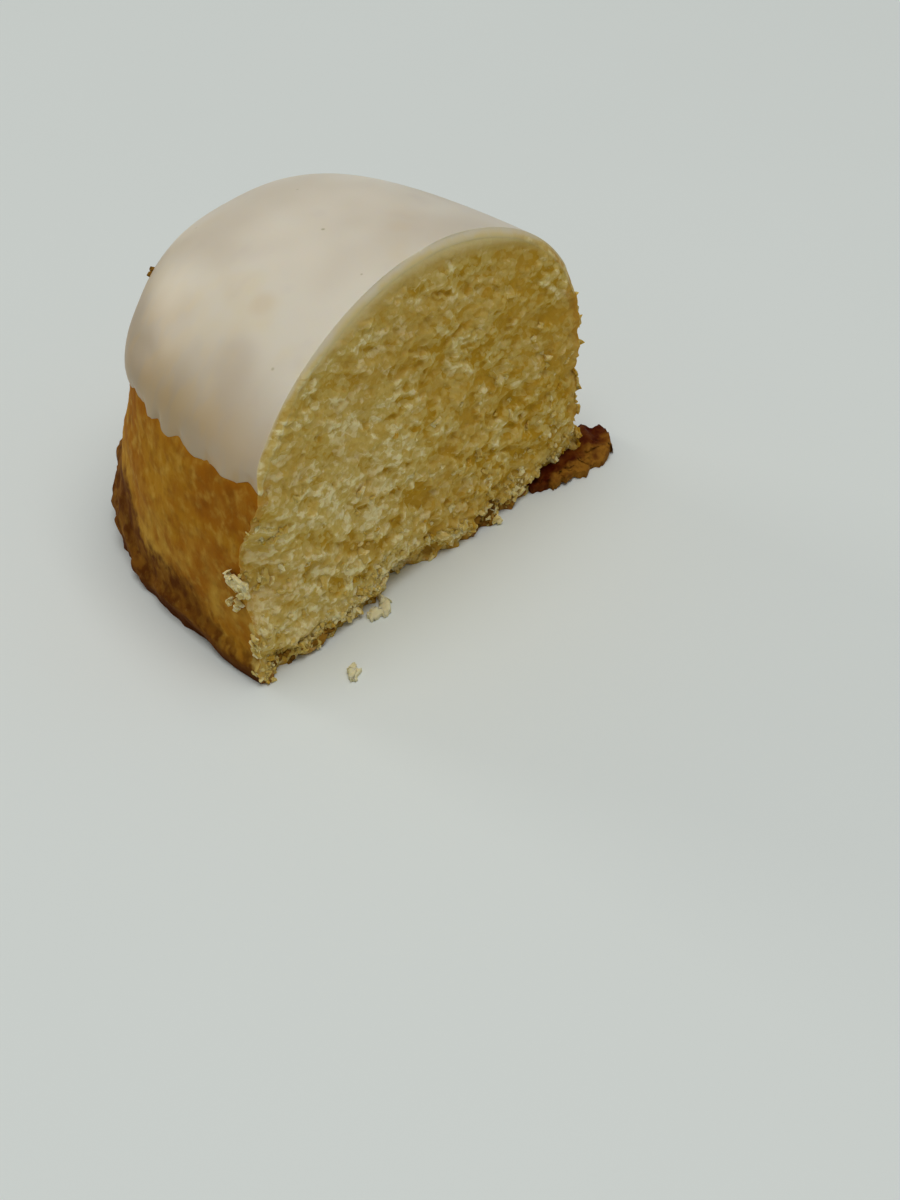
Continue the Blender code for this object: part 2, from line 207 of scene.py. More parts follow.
# Light and floor; a lamp has its name, place, aim, width, energy and tint
SKY_COLOUR = (0.97, 1.0, 0.98, 1.0)
SKY_STRENGTH = 0.245
LAMPS = (("overhead", (-0.05, -0.10, 1.10), (0.0, 0.0, 0.0), 0.9, 7.0, (1.0, 1.0, 1.0)),
         ("behind", (-0.12, 0.88, 0.21), (-0.015, 0.0, 0.03), 0.30, 1.45, (1.0, 0.99, 0.90)))
FLOOR_SIZE = 4.0

# Fineness of the meshes
CRUMB_CELL, WALL_CELL = mm(0.158, 0.42)
SPONGE_STEPS = 540
ICING_STEPS = 860
CRUMB_COUNT = 420

# The camera, from the outlines in the photograph
PHOTO_HEIGHT = 1200
FOCAL_PIXELS = 2400.0
SENSOR_WIDTH = 36.0
CAMERA_PLACE = mm(-157.98, -161.09, 165.22)
CAMERA_DOWN = math.radians(38.728)
CAMERA_TURN = math.radians(-48.613)
CAMERA_ROLL = math.radians(-1.373)

RANDOM = np.random.default_rng(41)


# ---- handling pieces

def start():
    """Leaves nothing selected and no piece active."""
    bpy.ops.object.select_all(action="DESELECT")
    bpy.context.view_layer.objects.active = None


def pick(piece):
    start()
    piece.select_set(True)
    bpy.context.view_layer.objects.active = piece


def places(piece):
    table = np.empty(len(piece.data.vertices) * 3)
    piece.data.vertices.foreach_get("co", table)
    return table.reshape(-1, 3)


def round_axis(table):
    """Distance from the axis, angle about it, and height."""
    return np.hypot(table[:, 0], table[:, 1]), np.arctan2(table[:, 1], table[:, 0]), table[:, 2]


def edited(piece, *steps):
    """Takes all of a piece through steps in edit mode."""
    pick(piece)
    bpy.ops.object.mode_set(mode="EDIT")
    for step, settings in steps:
        bpy.ops.mesh.select_all(action="SELECT")
        step(**settings)
    bpy.ops.object.mode_set(mode="OBJECT")


def move(piece, table):
    piece.data.vertices.foreach_set("co", table.ravel())
    piece.data.update()


def note(piece, name, values):
    """Keeps one number for each vertex, for the piece's finish to read."""
    layer = piece.data.attributes.new(name, "FLOAT", "POINT")
    layer.data.foreach_set("value", np.asarray(values, np.float32))


def ease(low, high, value):
    """0 below low, 1 above high, and a smooth rise between them."""
    share = np.clip((value - low) / (high - low), 0.0, 1.0)
    return share * share * (3.0 - 2.0 * share)


def ripple(a, b, c):
    """Even noise at each place of three arrays of coordinates."""
    a, b, c = np.broadcast_arrays(a, b, c)
    spots = np.stack([a, b, c], axis=-1).reshape(-1, 3).tolist()
    return np.array([noise.noise(spot, noise_basis="PERLIN_ORIGINAL") for spot in spots]).reshape(a.shape)


def wave(angle, count, row):
    """Even noise round the cake that meets itself after a full turn."""
    ring = count / (2.0 * math.pi)
    return ripple(ring * np.cos(angle), ring * np.sin(angle), row)


# ---- the baked form

def wall_radius(height, shoulder):
    share = height / WALL_HEIGHT
    return 1.0 + (shoulder - 1.0) * share + WALL_BULGE * np.sin(np.pi * share)


def form_radius(height, shoulder, power):
    """The form's radius as a part of the base's, for the side or the end profile."""
    rise = np.clip((height - WALL_HEIGHT) / DOME_HEIGHT, 0.0, 0.97)
    dome = shoulder * (1.0 - rise ** power) ** (1.0 / power)
    return np.where(height <= WALL_HEIGHT, wall_radius(height, shoulder), dome)


def dome_point(angle, inset):
    """A point of the dome's side profile, set in square to its face."""
    across = SIDE_SHOULDER * HALF_WIDTH
    bow = 2.0 / SIDE_DOME_POWER
    flat, tall = math.cos(angle) ** bow, math.sin(angle) ** bow
    lean = (math.cos(angle) ** (2.0 - bow) / across, math.sin(angle) ** (2.0 - bow) / DOME_HEIGHT)
    length = math.hypot(*lean)
    return (max(0.0, across * flat - inset * lean[0] / length),
            WALL_HEIGHT + DOME_HEIGHT * tall - inset * lean[1] / length)


def down_to(last, count):
    """Dome angles from the crown to a last one, in even steps."""
    return [last + (math.pi / 2.0 - last) * (i / count) for i in range(count, -1, -1)]


def angle_at(height, inset):
    """The dome angle whose inset point lies at a height, by halving."""
    low, high = 0.0, math.pi / 2.0
    for _ in range(40):
        middle = 0.5 * (low + high)
        if dome_point(middle, inset)[1] < height:
            low = middle
        else:
            high = middle
    return low


def turned(name, outline, steps):
    """A closed body: a sheet rolled up round the axis, each row at an outline point's height."""
    start()
    rows = len(outline) - 1
    bpy.ops.mesh.primitive_grid_add(x_subdivisions=steps, y_subdivisions=rows, size=1.0)
    piece = bpy.context.object
    piece.name = piece.data.name = name
    table = places(piece)
    turn = 2.0 * np.pi * (table[:, 0] + 0.5)
    row = np.rint((0.5 - table[:, 1]) * rows).astype(int)
    radius, height = np.array(outline)[row].T
    move(piece, np.stack([radius * np.cos(turn), radius * np.sin(turn), height], axis=1))
    edited(piece, (bpy.ops.mesh.remove_doubles, {"threshold": 0.0001 * MM}))
    return piece


def pressed_oval(table):
    """Takes the round, turned cake to its squarish oval, and to its place."""
    radius, angle, height = round_axis(table)
    radius, height = radius / HALF_WIDTH, np.clip(height, 0.0, WHOLE_HEIGHT)
    cosine, sine = np.cos(angle), np.sin(angle)
    end = form_radius(height, END_SHOULDER, END_DOME_POWER)
    side = form_radius(height, SIDE_SHOULDER, SIDE_DOME_POWER)
    fullness = 1.0 + (end / side - 1.0) * sine * sine
    bow = 2.0 / PLAN_POWER
    along = HALF_LENGTH * radius * fullness * np.sign(sine) * np.abs(sine) ** bow
    across = HALF_WIDTH * radius * fullness * np.sign(cosine) * np.abs(cosine) ** bow
    across = across + PLAN_SKEW * (along - CUT_FROM_MIDDLE)
    return np.stack([across, along + MIDDLE_Y, table[:, 2]], axis=1)


# ---- the sponge

def rim_top(angle):
    """Height of the browned lip, which climbs towards the rounded end."""
    climb = ease(math.sin(math.radians(32)), math.sin(math.radians(47)), np.sin(angle))
    return RIM_HEIGHT + (RIM_END_HEIGHT - RIM_HEIGHT) * climb + 0.9 * MM * wave(angle, 22, 3.1)


def browning(angle, height):
    """How dark the wall is baked: dark up to a soft line that climbs away from the cut."""
    sine = np.sin(angle)
    top = BROWN_CORNER + (BROWN_SIDE - BROWN_CORNER) * ease(0.06, 0.28, sine)
    top = top + (BROWN_END - BROWN_SIDE) * ease(0.47, 0.66, sine)
    top = top + 1.1 * MM * wave(angle, 24, 3.1) + 0.5 * MM * wave(angle, 80, 5.0)
    return 1.0 - ease(top - 2.2 * MM, top + 1.6 * MM, height)


def browned_wall(table):
    """Lumps on the wall, and the ragged lip that stands out round its foot."""
    radius, angle, height = round_axis(table)
    cosine, sine = np.cos(angle), np.sin(angle)
    lumps = WALL_LUMPS * ripple(cosine * 6.0, sine * 6.0, height / (3.2 * MM))
    lumps *= 1.0 - ease(0.8 * WALL_HEIGHT, WALL_HEIGHT, height)
    pits = WALL_PITS * ripple(cosine * 32.0, sine * 32.0, height / (0.9 * MM))
    top = rim_top(angle)
    lip = 1.0 - ease(0.72 * top, 1.1 * top, height)
    reach = RIM_DEPTH + (RIM_END_DEPTH - RIM_DEPTH) * sine ** 2
    ragged = RIM_RAGGED * wave(angle, 46, height / (2.4 * MM)) + 0.3 * MM * wave(angle, 90, 7.7)
    ragged = ragged + 0.16 * MM * wave(angle, 210, height / (1.1 * MM))
    foot = 0.45 * MM * (1.0 - ease(0.0, 1.6 * MM, height))
    grown = radius + lumps + pits + lip * (reach + ragged) - foot
    scale = np.where((radius > 0.5 * HALF_WIDTH) & (height < 27.0 * MM), grown / np.maximum(radius, 1e-6), 1.0)
    return table * np.stack([scale, scale, np.ones_like(scale)], axis=1)


def crumb_inset(height):
    """How far the sponge lies inside the outer form: deeper where the icing covers it."""
    under = ICING_THICKNESS - 0.17 * MM
    return WALL_INSET + (under - WALL_INSET) * float(ease(22.5 * MM, 28.0 * MM, height))


def sponge_outline():
    """Crown, dome and wall of the crumb's turned outline, then its flat base."""
    visible = angle_at(28.0 * MM, 0.0)
    angles = down_to(visible, 14) + [visible * i / 18 for i in range(17, 0, -1)]
    outline = [dome_point(angle, crumb_inset(dome_point(angle, 0.0)[1])) for angle in angles]
    outline[0] = (0.0, outline[0][1])
    rows = round(WALL_HEIGHT / WALL_CELL)
    for i in range(rows, -1, -1):
        height = WALL_HEIGHT * i / rows
        outline.append((HALF_WIDTH * float(wall_radius(height, SIDE_SHOULDER)) - WALL_INSET, height))
    outline.append((0.0, 0.0))
    return outline


def slanted(across, height):
    run = across * math.cos(PORE_SLANT) + height * math.sin(PORE_SLANT)
    rise = height * math.cos(PORE_SLANT) - across * math.sin(PORE_SLANT)
    return run, rise


def broad_depth(across, height):
    """How far the crumb stands back from the plane of the cut, without its fine grain."""
    run, rise = slanted(across, height)
    clumps = CLUMP_DEPTH * ripple(run / CLUMP_PITCH * 0.7, rise / CLUMP_PITCH, 5.2)
    clumps = clumps + TUFT_DEPTH * ripple(run / TUFT_PITCH * 0.7, rise / TUFT_PITCH, 8.8) * (
        1.0 - 0.5 * ease(14.0 * MM, 30.0 * MM, height))
    low = 1.0 - ease(0.5 * MM, 4.5 * MM, height)
    ragged = ripple(across / (1.9 * MM), height / (1.5 * MM), 3.9)
    ragged = ragged + 0.25 * ripple(across / (0.7 * MM), height / (0.7 * MM), 7.7)
    clumps = clumps + FOOT_RAGGED * low * ragged
    from_middle = (across - HOLLOW_MIDDLE) / HOLLOW_HALF_WIDTH
    scoop = ease(0.0, 1.0, 1.0 - np.abs(from_middle)) * (1.0 - ease(0.45, 1.0, height / HOLLOW_HEIGHT))
    edge = ease(0.0, 1.0, (CORNER_WIDTH - HALF_WIDTH - across) / CORNER_WIDTH)
    worn = ease(5.0 * MM, 12.0 * MM, height) * (1.0 - ease(16.0 * MM, 23.0 * MM, height))
    return clumps + HOLLOW_DEPTH * scoop + CORNER_BACK * edge * worn


def cut_wave(across, height):
    return 0.12 * MM * ripple(across / (9.0 * MM), height / (9.0 * MM), 0.0)


def rounded_edge(gap):
    """How far the cut falls back near the outside of the icing."""
    return CUT_ROUNDING_DEPTH * np.clip(1.0 - gap / CUT_ROUNDING, 0.0, 1.0) ** 2


def arch_distance(across, height):
    """Distance in from the outside of the icing, over the iced part of the cut."""
    arch = np.array([dome_point(math.pi / 2.0 * i / 400, 0.0) for i in range(400)])
    arch = np.concatenate([arch, arch * (-1.0, 1.0)])
    gap = np.full(across.shape, 1.0)
    for point in arch:
        gap = np.minimum(gap, np.hypot(across - point[0], height - point[1]))
    outside = np.hypot(across / (SIDE_SHOULDER * HALF_WIDTH), (height - WALL_HEIGHT) / DOME_HEIGHT)
    return np.where((outside > 1.1) & (height > WALL_HEIGHT), 0.0, gap)


def drawn_in(arch, height):
    """The distance as it counts for the soaked edge, which is narrower down the sides."""
    return arch * (1.0 + 1.8 * (1.0 - ease(29.0 * MM, 37.0 * MM, height)))


def cells(run, rise, seed):
    """Uneven cells a unit wide: how far in from the border, the cell's tilt, its lift and its tone."""
    size = 128
    draws = np.random.default_rng(seed).random((size, size, 6))
    column, row = np.floor(run).astype(int), np.floor(rise).astype(int)
    nearest, second = np.full((2, *run.shape), 9.0)
    lean, lift, tone = np.zeros((3, *run.shape))
    for right in (-1, 0, 1):
        for up in (-1, 0, 1):
            draw = draws[(column + right) % size, (row + up) % size]
            away_run = run - (column + right + draw[..., 0])
            away_rise = rise - (row + up + draw[..., 1])
            gap = np.hypot(away_run, away_rise)
            closer = gap < nearest
            second = np.where(closer, nearest, np.minimum(second, gap))
            nearest = np.where(closer, gap, nearest)
            lean = np.where(closer, away_run * (draw[..., 2] - 0.5) + away_rise * (draw[..., 3] - 0.5), lean)
            lift = np.where(closer, draw[..., 4] - 0.5, lift)
            tone = np.where(closer, draw[..., 5], tone)
    return second - nearest, lean, lift, tone


def lumpy(run, rise, stretch, first_seed):
    """Depth and tone of three sizes of lumps laid over one another; the pale ones stand out, their paleness partly
    painted light.
    """
    depth, shade = np.zeros((2, *run.shape))
    for seed, (pitch, stand, tilt, groove) in enumerate(CRUMB_LUMPS):
        border, lean, lift, draw = cells(run / (pitch * stretch), rise / pitch, first_seed + seed)
        fleck = ease(0.0, 0.28, border) * ease(1.0 - PALE_SHARE, 1.0 - 0.5 * PALE_SHARE, draw)
        depth = depth + 0.6 * stand * lift + tilt * pitch * lean - groove * (ease(0.0, 0.5, border) - 0.5)
        depth = depth - 0.8 * stand * fleck
        shade = shade + (0.25, 0.45, 0.1)[seed] * (fleck - 0.25) + 0.1 * (draw - 0.5)
    return depth, shade


def grain(across, height, open_share):
    """Depth and tone of the crumb: golden, with pale flecks that stand out and amber pockets; the pale is partly
    painted light on the raised lumps, the amber partly painted shade in the sunk pockets.
    """
    run, rise = slanted(across, height)
    warp = 0.25 * MM
    run = run + warp * ripple(across / (0.9 * MM), height / (0.9 * MM), 31.0)
    rise = rise + warp * ripple(across / (0.9 * MM), height / (0.9 * MM), 47.0)
    strands, strand_tone = lumpy(run, rise, STRAND_STRETCH, 0)
    lumps, lump_tone = lumpy(FINER * run, FINER * rise, 1.15, 10)
    place = (height + 0.35 * across) / (32.0 * MM)
    upper = ease(0.36, 0.56, place + 0.4 * ripple(run / (5.0 * MM), rise / (5.0 * MM), 3.3))
    foam = lumps + (strands - lumps) * upper
    tone = 0.1 + lump_tone + (strand_tone - lump_tone) * upper
    field = ripple(run / (3.0 * MM), rise / (1.9 * MM), 9.4)
    field = field + 0.3 * ripple(run / (1.1 * MM), rise / (0.8 * MM), 17.0)
    pocket = 0.9 * (1.0 - ease(POCKET_START - 0.18, POCKET_START + 0.16, field))
    pocket = pocket * open_share * (0.5 + 0.5 * ease(-20.0 * MM, -6.0 * MM, across)) * (1.0 - 0.3 * upper)
    pale_side = (1.0 - ease(-22.0 * MM, 10.0 * MM, across)) * (1.0 - ease(20.0 * MM, 32.0 * MM, height))
    tone = tone - 0.35 * ease(-14.0 * MM, 24.0 * MM, across) + 0.1 + 0.28 * pale_side
    foam = foam * (1.0 - 0.2 * pale_side) * (1.0 - 0.12 * upper)
    floor = POCKET_DEPTH + 0.35 * foam
    # the pockets sink back and their tone goes amber: painted shade in the recesses over the crumb's own colour
    return foam + (floor - foam) * pocket, tone + (-0.7 - tone) * pocket


def softened(sheet):
    """A light blur of a sheet of depths, so that steps between lumps are a little rounded."""
    for axis in (0, 1):
        sheet = 0.5 * sheet + 0.25 * np.roll(sheet, 1, axis) + 0.25 * np.roll(sheet, -1, axis)
    return sheet


def facing_block(name, depth_of):
    """A block over the part of the cake that is gone, with its face pushed in by a rule."""
    span, high = 62.0 * MM, 43.0 * MM
    start()
    columns, rows = round(span / CRUMB_CELL), round(high / CRUMB_CELL)
    bpy.ops.mesh.primitive_grid_add(x_subdivisions=columns, y_subdivisions=rows, size=1.0)
    block = bpy.context.object
    block.name = name
    table = places(block)
    across, height, _ = table.T.reshape(3, rows + 1, columns + 1)
    side, depth, up, tone = depth_of(across * span, (height + 0.5) * high - 1.5 * MM)
    move(block, np.stack([side.ravel(), CUT_Y + depth.ravel(), up.ravel()], axis=1))
    face = places(block)
    edited(block, (bpy.ops.mesh.extrude_region_move, {"TRANSFORM_OT_translate": {"value": (0.0, -OUTSIDE, 0.0)}}),
           (bpy.ops.mesh.normals_make_consistent, {"inside": False}))
    return block, face, tone.ravel()


def torn(across, height):
    """Where each point of the torn face lies, and how pale its lump is."""
    arch = arch_distance(across, height)
    iced = ease(WALL_HEIGHT + 1.0 * MM, WALL_HEIGHT + 6.0 * MM, height)
    dense = 1.0 - iced * (1.0 - ease(1.0 * MM, 3.2 * MM, drawn_in(arch, height)))
    depth, tone = grain(across, height, 1.0 - (1.0 - ease(2.5 * MM, 7.0 * MM, arch)) * iced)
    depth = broad_depth(across, height) * dense + dense * softened(depth) + 0.1 * MM * dense
    depth = depth + (cut_wave(across, height) + rounded_edge(arch) + 0.025 * MM) * (1.0 - dense)
    sway = 0.14 * MM * dense
    side = across + sway * ripple(across / (0.7 * MM), height / (0.7 * MM), 14.1)
    up = height + sway * ripple(across / (0.7 * MM), height / (0.7 * MM), 21.6)
    return side, depth, up, tone


def cut_away(piece, block):
    pick(piece)
    step = piece.modifiers.new("cut", "BOOLEAN")
    step.operation = "DIFFERENCE"
    step.solver = "MANIFOLD"
    step.material_mode = "TRANSFER"
    step.object = block
    bpy.ops.object.modifier_apply(modifier=step.name)
    bpy.data.objects.remove(block)


def rim_kept(piece, degrees):
    """Smooth shading, but for edges sharper than an angle."""
    pick(piece)
    bpy.ops.object.shade_smooth_by_angle(angle=math.radians(degrees))


def nearest_points(table, others):
    """The number of the other place that is nearest to each place of a table."""
    tree = KDTree(len(others))
    for number, place in enumerate(others.tolist()):
        tree.insert(place, number)
    tree.balance()
    return np.array([tree.find(place)[1] for place in table.tolist()])


def make_sponge():
    sponge = turned("sponge_crumb", sponge_outline(), SPONGE_STEPS)
    wall = places(sponge)
    brown = browning(*round_axis(wall)[1:])
    body = pressed_oval(browned_wall(wall))
    move(sponge, body)
    whole = BVHTree.FromObject(sponge, bpy.context.evaluated_depsgraph_get())
    sponge.data.materials.append(browned_crust())
    block, face, tone = facing_block("torn_block", torn)
    block.data.materials.append(yellow_crumb())
    cut_away(sponge, block)
    table = places(sponge)
    across, height = table[:, 0], table[:, 2]
    number = nearest_points(table, np.concatenate([face, body]))
    note(sponge, "tone", np.concatenate([tone, np.zeros(len(body))])[number])
    note(sponge, "brown", np.concatenate([np.zeros(len(face)), brown])[number])
    note(sponge, "arch_mm", drawn_in(arch_distance(across, height), height) / MM)
    rind = np.array([whole.find_nearest(place)[3] for place in table.tolist()])
    note(sponge, "rind_mm", rind / MM)
    rim_kept(sponge, 75)
    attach(sponge, "root")
    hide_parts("sponge")
    return sponge


# ---- crumbs and scraps

def lump_shape():
    """Points and faces of a small ball."""
    start()
    bpy.ops.mesh.primitive_uv_sphere_add(segments=LUMP_SIDES, ring_count=LUMP_RINGS, radius=1.0)
    ball = bpy.context.object
    points = places(ball)
    faces = sorted(tuple(face.vertices) for face in ball.data.polygons)
    bpy.data.objects.remove(ball)
    return points, faces


def turns(axes):
    """Random turns: any way about each lump's own axis, and tilted a little."""
    table = []
    for axis in axes:
        lean = [Matrix.Rotation(RANDOM.normal(0.0, LUMP_TILT), 3, name) for name in "XYZ"]
        table.append(lean[0] @ lean[1] @ lean[2] @ Matrix.Rotation(RANDOM.uniform(0.0, 2.0 * math.pi), 3, axis))
    return np.array(table)


def strewn(name, lumps, finish):
    """One mesh of many lumps; each has its middle, three half lengths, its tone and its own axis."""
    points, faces = lump_shape()
    middles, radii, tones, axes = zip(*lumps)
    spins = turns(axes)
    count, step = len(lumps), len(points)
    shapes = np.repeat(points[None], count, axis=0)
    rough = ripple(shapes[..., 0] * 1.4 + np.arange(count)[:, None] * 3.7, shapes[..., 1] * 1.4, shapes[..., 2] * 1.4)
    shapes = shapes * (1.0 + LUMP_ROUGHNESS * rough[..., None]) * np.array(radii)[:, None, :]
    shapes = np.einsum("nab,npb->npa", spins, shapes) + np.array(middles)[:, None, :]
    shapes[..., 2] = np.maximum(shapes[..., 2], TABLE_GAP)
    all_faces = [tuple(corner + step * i for corner in face) for i in range(count) for face in faces]
    mesh = bpy.data.meshes.new(name)
    mesh.from_pydata(shapes.reshape(-1, 3).tolist(), [], all_faces)
    piece = bpy.data.objects.new(name, mesh)
    bpy.context.scene.collection.objects.link(piece)
    piece.data.materials.append(finish)
    note(piece, "tone", np.repeat(tones, step))
    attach(piece, "root")


def drawn_size(middle, spread=0.35):
    """A random size about a middle one in millimetres."""
    return RANDOM.lognormal(math.log(middle), spread) * MM


def met_in_front(tree, across, height):
    """The point of the torn face at a place across and a height, if the face is there."""
    hit = tree.ray_cast((across, -OUTSIDE, height), (0.0, 1.0, 0.0))[0]
    return hit if hit is not None and hit.y <= TORN_BACK else None


def make_crumbs(sponge):
    """Crumbs that cling to the foot of the torn face or are smeared onto the wall, and brown bits."""
    tree = BVHTree.FromObject(sponge, bpy.context.evaluated_depsgraph_get())
    lumps = []
    while len(lumps) < CRUMB_COUNT:
        across, height = RANDOM.uniform(-27.5, 27.5) * MM, RANDOM.uniform(0.1, 22.0) * MM
        if RANDOM.random() > 0.05 + 0.95 * math.exp(-height / (3.0 * MM)):
            continue
        hit = met_in_front(tree, across, height)
        if hit is not None:
            size = drawn_size(CLINGING_SIZE)
            lumps.append(((hit.x, hit.y + 0.25 * size, max(hit.z, 0.6 * size)),
                          size * RANDOM.uniform((0.8, 0.5, 0.7), (1.9, 0.9, 1.2)), RANDOM.uniform(-0.3, 0.6), "Y"))
    for middle, height, count in FOOT_CLUMPS:
        middle, height = mm(middle, height)
        for _ in range(count):
            across, up = middle + RANDOM.normal(0.0, 0.8) * MM, abs(height + RANDOM.normal(0.0, 0.6) * MM)
            hit, size = met_in_front(tree, across, up), drawn_size(CLUMPED_SIZE)
            if hit is not None:
                out = RANDOM.uniform(-0.3, 0.12) * MM * math.exp(-((across - middle) / MM) ** 2)
                lumps.append(((hit.x, hit.y - out, max(hit.z, 0.6 * size)),
                              size * RANDOM.uniform((0.8, 0.6, 0.7), (1.6, 1.1, 1.2)), RANDOM.uniform(0.1, 0.6), "Y"))
    for side, along, height, wide, high, count, tone in WALL_SMEARS:
        along, height, wide, high = mm(along, height, wide, high)
        for _ in range(count):
            outside = (side * OUTSIDE, along + RANDOM.normal(0.0, wide), height + RANDOM.normal(0.0, high))
            hit = tree.ray_cast(outside, (-side, 0.0, 0.0))[0]
            if hit is not None and abs(hit.x) >= WALL_FROM:
                size = drawn_size(SMEARED_SIZES[side])
                lumps.append(((hit.x + SMEARED_SINK[side] * size, hit.y, hit.z),
                              size * RANDOM.uniform((0.35, 0.7, 0.7), (0.6, 1.5, 1.3)),
                              tone + RANDOM.uniform(-0.3, 0.3), "X"))
    strewn("clinging_crumbs", lumps, loose_crumb())
    bits = []
    for across, wide, count in BROWN_BITS:
        across, wide = mm(across, wide)
        for _ in range(count):
            hit = met_in_front(tree, across + RANDOM.normal(0.0, wide), RANDOM.uniform(0.3, 1.6) * MM)
            size = drawn_size(BIT_SIZE, 0.3)
            if hit is not None:
                bits.append(((hit.x, hit.y + 0.2 * size, max(hit.z, 0.7 * size)),
                             size * RANDOM.uniform((0.8, 0.5, 0.6), (1.6, 0.9, 1.0)), 0.0, "Y"))
    bits += [(place, (DOME_CRUMB_SIZE,) * 3, 0.0, "Y") for place in DOME_CRUMBS]
    strewn("crust_bits", bits, browned_scrap("browned bits", BIT_COLOURS, CUT_Y - 9.0 * MM))


def rough_scrap(name, size, place, turn, cuts, ragged, pitch, finish, upright=False):
    """A small torn scrap: a block, subdivided and pulled out of shape; an upright one faces -X."""
    start()
    bpy.ops.mesh.primitive_cube_add(size=1.0)
    scrap = bpy.context.object
    scrap.name = scrap.data.name = name
    edited(scrap, (bpy.ops.mesh.subdivide, {"number_cuts": cuts}))
    table = places(scrap)
    across, along, up = table.T
    outline = 1.0 - 0.5 * (np.abs(across) * 2.0) ** 3 * np.abs(along)
    run, rise = across * size[0] / pitch, along * size[1] / pitch
    torn_side = ragged * ripple(run, rise, 2.0) + 0.45 * ragged * ripple(2.9 * run, 2.9 * rise, 6.0)
    thick = size[2] * (1.0 - 0.45 * (np.abs(along) * 2.0) ** 2 - 0.25 * (np.abs(across) * 2.0) ** 4)
    swell = 0.5 * ragged * ripple(0.87 * run, 0.87 * rise, 9.0)
    grain_up = 0.22 * ragged * ripple(4.3 * run, 4.3 * rise, up * 3.0)
    x, y = across * size[0] * outline + torn_side, along * size[1] * outline + torn_side
    z = (up + 0.5) * thick + swell + grain_up
    cosine, sine = math.cos(turn), math.sin(turn)
    x, y = x * cosine - y * sine, x * sine + y * cosine
    table = np.stack([-z, y, x] if upright else [x, y, z], axis=1) + np.array(place)
    table[:, 2] = np.maximum(table[:, 2], TABLE_GAP)
    move(scrap, table)
    scrap.data.materials.append(finish)
    scrap.data.shade_smooth()
    return scrap


def make_scraps():
    scrap = rough_scrap("crust_scrap", SCRAP_SIZE, SCRAP_PLACE, SCRAP_TURN, 44, 1.15 * MM, 2.1 * MM,
                        browned_scrap("browned scrap", SCRAP_COLOURS, CUT_Y - 2.5 * MM))
    finish, flakes = loose_crumb(), []
    for rows, upright, tone in ((LOOSE_FLAKES, False, 0.95), (WALL_FLAKES, True, 0.68)):
        for size, place, turn in rows:
            flake = rough_scrap("loose_flakes", size, place, math.radians(turn), 13, 0.58 * MM, 0.85 * MM, finish,
                                upright)
            note(flake, "tone", np.full(len(places(flake)), tone))
            flakes.append(flake)
    start()
    for flake in flakes:
        flake.select_set(True)
    bpy.context.view_layer.objects.active = flakes[0]
    bpy.ops.object.join()
    for piece in (scrap, flakes[0]):
        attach(piece, "root")


# ---- the icing

def hem_shift(angle):
    """The icing's lower edge: long swells, lower round the end; and short lobes with small nicks."""
    sine = np.abs(np.sin(angle))
    drop = 0.5 * HEM_END_DROP * (sine + ease(0.5, 0.8, sine))
    broad = HEM_SWELL * wave(angle, 26, 8.2) - drop
    phase = HEM_LOBES * angle - 3.25 * np.sin(2.0 * angle) + 0.9 * wave(angle, 9, 1.3)
    lobes = np.sqrt(np.sin(phase) ** 2 + 0.012) * np.clip(0.95 + 1.2 * wave(angle, 30, 4.4), 0.7, 1.3)
    lobes = lobes + 0.38 * wave(angle, 120, 2.2) + 0.16 * wave(angle, 230, 5.1)
    return broad, -HEM_TEETH * (1.0 - 0.35 * ease(0.1, 0.6, sine)) * (lobes - 0.5)


def dripping_hem(table):
    """Moves the foot of the icing up and down the dome's own slope, and thickens it into a bead."""
    radius, angle, level = round_axis(table)
    above = level - HEM_HEIGHT
    broad, lobes = hem_shift(angle)
    height = level + broad * (1.0 - ease(0.0, HEM_REACH, above)) + lobes * (1.0 - ease(0.0, 2.2 * MM, above))
    before, after = [HALF_WIDTH * form_radius(z, SIDE_SHOULDER, SIDE_DOME_POWER) for z in (level, height)]
    bead = ease(0.3 * MM, 1.8 * MM, above) * (1.0 - ease(2.2 * MM, 5.0 * MM, above))
    share = ease(0.35, 0.75, np.sin(angle)) * (0.6 + 1.6 * wave(angle, 13, 6.6)) + 0.3 * wave(angle, 22, 2.6)
    bead = np.where(above > 0.0, HEM_BEAD * np.clip(share, 0.0, 1.0) * bead, 0.0)
    scale = np.where(radius > 1e-6, (radius + after - before + bead) / np.maximum(radius, 1e-6), 1.0)
    return np.stack([table[:, 0] * scale, table[:, 1] * scale, height], axis=1)


def hem_inset(height):
    """How far the icing's face sinks towards its thin lower edge."""
    return HEM_SINK * (1.0 - float(ease(HEM_HEIGHT, HEM_HEIGHT + HEM_TAPER, height)))


def icing_outline():
    angles = down_to(angle_at(HEM_HEIGHT, 0.0), 90)
    face = [dome_point(angle, hem_inset(dome_point(angle, 0.0)[1])) for angle in angles]
    angles = down_to(angle_at(HEM_HEIGHT, ICING_THICKNESS), 24)
    inside = [dome_point(angle, ICING_THICKNESS) for angle in angles]
    face[0], inside[0] = (0.0, WHOLE_HEIGHT), (0.0, WHOLE_HEIGHT - ICING_THICKNESS)
    outer, inner = face[-1], inside[-1]
    lip = ((outer[0] + inner[0]) / 2.0, (outer[1] + inner[1]) / 2.0 - 0.3 * ICING_THICKNESS)
    return face + [lip] + list(reversed(inside))


def sliced(across, height):
    """The icing's cut, a hair in front of the crumb's; clean at the top, crumbly lower down."""
    side, depth, up, tone = torn(across, height)
    return side, depth - 0.025 * MM, up, tone


